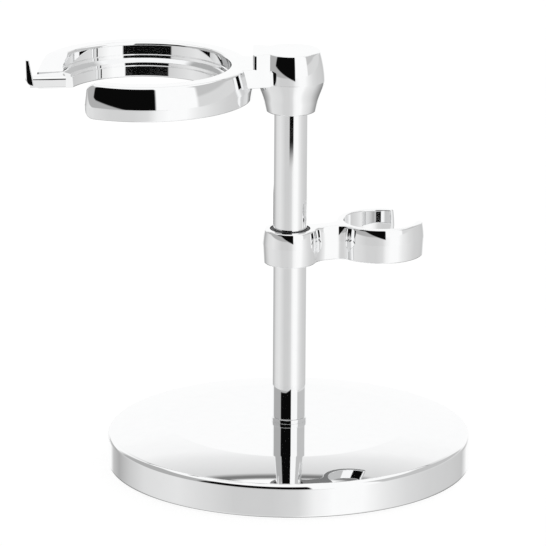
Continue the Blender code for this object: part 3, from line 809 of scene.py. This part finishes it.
# Studio that the chrome mirrors: shades by turn from the camera, right positive, and by rise, in degrees
FLOOR_BAND = [
    (-180, 1.0), (-158, 1.0), (-150, 0.55), (-138, 0.42), (-122, 0.6), (-105, 0.74), (-75, 0.8), (-50, 0.7),
    (-35, 0.63), (-10, 0.63), (6, 0.69), (16, 0.9), (28, 1.0), (48, 1.0), (62, 0.85), (80, 0.72),
    (100, 0.65), (125, 0.62), (145, 0.57), (158, 1.0), (180, 1.0),
]
DEEP_FLOOR_BAND = [
    (-180, 0.2), (-150, 0.25), (-125, 0.45), (-100, 0.78), (-50, 0.72), (-35, 0.66), (-10, 0.66), (6, 0.72),
    (16, 0.92), (28, 1.0), (48, 1.0), (62, 0.86), (100, 0.68), (125, 0.45), (150, 0.25), (180, 0.2),
]
LOW_WALL_BAND = [
    (-180, 1.0), (-135, 1.0), (-124, 0.43), (-20, 0.43), (-5, 0.6), (12, 1.0), (58, 1.0), (61, 0.7),
    (136, 0.7), (146, 1.0), (180, 1.0),
]
HIGH_WALL_BAND = [
    (-180, 1.0), (-135, 1.0), (-124, 0.43), (-20, 0.43), (12, 1.0), (58, 1.0), (61, 0.55), (136, 0.55),
    (146, 1.0), (180, 1.0),
]
BACK_BAND = [(-146, 1.0), (-136, 0.0), (136, 0.0), (146, 1.0)]
BACK_LEVELS = [
    (22, 1.0), (30, 0.95), (33, 0.85), (40, 0.7), (41.2, 0.2), (42, 0.2), (42.8, 1.0), (60, 1.0),
]
FLOOR_STEP = (-21.5, -19.0)
HORIZON_STEP = (-0.5, 0.5)
WALL_STEP = (8.0, 10.0)
WALL_TOP = (46.0, 50.0)

# Dark card on the camera's side, its foot lower to the right, and narrow dark patches below the horizon
CARD_BAND = [(-60, 0.0), (-57, 1.0), (13, 1.0), (15, 0.0)]
CARD_FOOT = -0.7
CARD_FOOT_STEP = (-0.5, 0.5)
CARD_SLOPE = -0.16
CARD_SHADE = 0.003
DARK_PATCHES = [
    (
        [(-37, 0.0), (-35, 1.0), (28, 1.0), (30, 0.0)],
        [(-14.1, 0.0), (-14.0, 1.0), (-13.2, 1.0), (-13.1, 0.0)],
    ),
    (
        [(-9, 0.0), (-7, 1.0), (18, 1.0), (20, 0.0)],
        [(-14.8, 0.0), (-14.6, 1.0), (-14.1, 1.0), (-14.0, 0.0)],
    ),
    (
        [(-180, 1.0), (-156, 1.0), (-152, 0.0), (172, 0.0), (174, 1.0), (180, 1.0)],
        [(-15.9, 0.0), (-15.8, 1.0), (-15.1, 1.0), (-15.0, 0.0)],
    ),
]

# Floor that the camera sees
FLOOR_RADIUS = 6.0
FLOOR_GLOW = 0.9
FLOOR_SHADE = 0.16


def grey(shade):
    return (shade, shade, shade, 1)


def calc(tree, operation, *values):
    """The result of one sum or function of numbers."""
    return put(tree, "ShaderNodeMath", dict(enumerate(values)), operation=operation).outputs[0]


def blend(tree, factor, low, high):
    """A number between two others."""
    return put(tree, "ShaderNodeMix", {0: factor, 2: low, 3: high}, data_type="FLOAT").outputs[0]


def climb(tree, value, start, end):
    """0 up to the start, 1 from the end on, and straight between them."""
    return between(tree, value, 0.0, 1.0, start, end)


def ramp(tree, value, stops):
    """Shades along a value, straight between the stops (value, shade)."""
    first, last = stops[0][0], stops[-1][0]
    node = put(tree, "ShaderNodeValToRGB", {"Fac": climb(tree, value, first, last)})
    spots = node.color_ramp.elements
    spots[0].color = grey(stops[0][1])
    spots[1].color = grey(stops[-1][1])
    for place, shade in stops[1:-1]:
        spots.new((place - first) / (last - first)).color = grey(shade)
    return node.outputs["Color"]


def room_shade(tree, turn, rise):
    """The studio's floor and walls without the dark card and patches."""
    high_up = climb(tree, rise, *WALL_STEP)
    walls = blend(tree, high_up, ramp(tree, turn, LOW_WALL_BAND), ramp(tree, turn, HIGH_WALL_BAND))
    walls = blend(tree, ramp(tree, turn, BACK_BAND), walls, ramp(tree, rise, BACK_LEVELS))
    far_out = climb(tree, rise, *FLOOR_STEP)
    floor = blend(tree, far_out, ramp(tree, turn, DEEP_FLOOR_BAND), ramp(tree, turn, FLOOR_BAND))
    return blend(tree, climb(tree, rise, *HORIZON_STEP), floor, walls)


def dark_cover(tree, turn, rise):
    """1 where the dark card or a dark patch covers the room."""
    foot = calc(tree, "MULTIPLY_ADD", turn, CARD_SLOPE, CARD_FOOT)
    over_foot = climb(tree, calc(tree, "SUBTRACT", rise, foot), *CARD_FOOT_STEP)
    cover = calc(tree, "MULTIPLY", over_foot, ramp(tree, turn, CARD_BAND))
    for turns, rises in DARK_PATCHES:
        patch = calc(tree, "MULTIPLY", ramp(tree, turn, turns), ramp(tree, rise, rises))
        cover = calc(tree, "MAXIMUM", cover, patch)
    return cover


def make_world():
    """White to the camera; to all other rays the studio under a white ceiling."""
    world = bpy.data.worlds.new("studio")
    world.use_nodes = True
    tree = world.node_tree
    direction = put(tree, "ShaderNodeTexCoord").outputs["Generated"]
    parts = put(tree, "ShaderNodeSeparateXYZ", {"Vector": direction}).outputs
    forward = calc(tree, "MULTIPLY", parts["Y"], -1.0)
    turn = calc(tree, "DEGREES", calc(tree, "ARCTAN2", parts["X"], forward))
    rise = calc(tree, "DEGREES", calc(tree, "ARCSINE", parts["Z"]))
    walled = blend(tree, dark_cover(tree, turn, rise), room_shade(tree, turn, rise), CARD_SHADE)
    studio = blend(tree, climb(tree, rise, *WALL_TOP), walled, 1.0)
    eye = put(tree, "ShaderNodeLightPath").outputs["Is Camera Ray"]
    tree.links.new(blend(tree, eye, studio, 1.0), tree.nodes["Background"].inputs["Color"])
    bpy.context.scene.world = world


def make_floor():
    """A pale floor that the camera sees; chrome looks past it to the studio below the horizon."""
    shape = bmesh.new()
    bmesh.ops.create_circle(shape, cap_ends=True, segments=ROUND_STEPS, radius=FLOOR_RADIUS)
    floor = new_piece("floor", shape)
    material = bpy.data.materials.new("floor")
    material.use_nodes = True
    tree = material.node_tree
    tree.nodes.remove(tree.nodes["Principled BSDF"])
    path = put(tree, "ShaderNodeLightPath").outputs
    strength = calc(tree, "MULTIPLY", path["Is Camera Ray"], FLOOR_GLOW)
    glow = put(tree, "ShaderNodeEmission", {"Strength": strength})
    paper = put(tree, "ShaderNodeBsdfDiffuse", {"Color": grey(FLOOR_SHADE)})
    both = put(tree, "ShaderNodeAddShader", {0: glow.outputs[0], 1: paper.outputs[0]})
    mirrored = calc(tree, "MAXIMUM", path["Is Glossy Ray"], path["Is Transmission Ray"])
    clear = put(tree, "ShaderNodeBsdfTransparent")
    seen = put(tree, "ShaderNodeMixShader", {0: mirrored, 1: both.outputs[0], 2: clear.outputs[0]})
    tree.links.new(seen.outputs[0], tree.nodes["Material Output"].inputs["Surface"])
    floor.data.materials.append(material)


def make_camera():
    """The camera in front of the stand and above it, at the photo's angle."""
    lens = bpy.data.cameras.new("camera")
    lens.lens = CAMERA_LENS
    lens.sensor_width = CAMERA_SENSOR
    camera = bpy.data.objects.new("camera", lens)
    bpy.context.scene.collection.objects.link(camera)
    tilt = Matrix.Rotation(math.pi / 2 - CAMERA_DROP, 4, "X")
    camera.matrix_world = Matrix.Translation(CAMERA_PLACE) @ tilt @ Matrix.Rotation(CAMERA_ROLL, 4, "Z")
    bpy.context.scene.camera = camera


def dress_frame():
    """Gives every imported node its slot's finish."""
    slots = {part["node"]: part["material_slot"] for part in frame["record"]["subparts"]}
    for name, node in frame["nodes"].items():
        node.data.materials.clear()
        node.data.materials.append(FINISHES[slots[name]])


dress_frame()
dress(turned("chrome_base", base_outline()), "base_shell")
dress(make_foot_ring(), "post_foot_ring")
dress(make_post(), "post_tube")
dress(make_head(), "swivel_head")
dress(make_ring(), "bowl_ring")
dress(make_hook(), "razor_hook")
dress(make_clip(), "brush_clip")
make_floor()
make_world()
make_camera()
bpy.context.scene.view_settings.view_transform = "Standard"
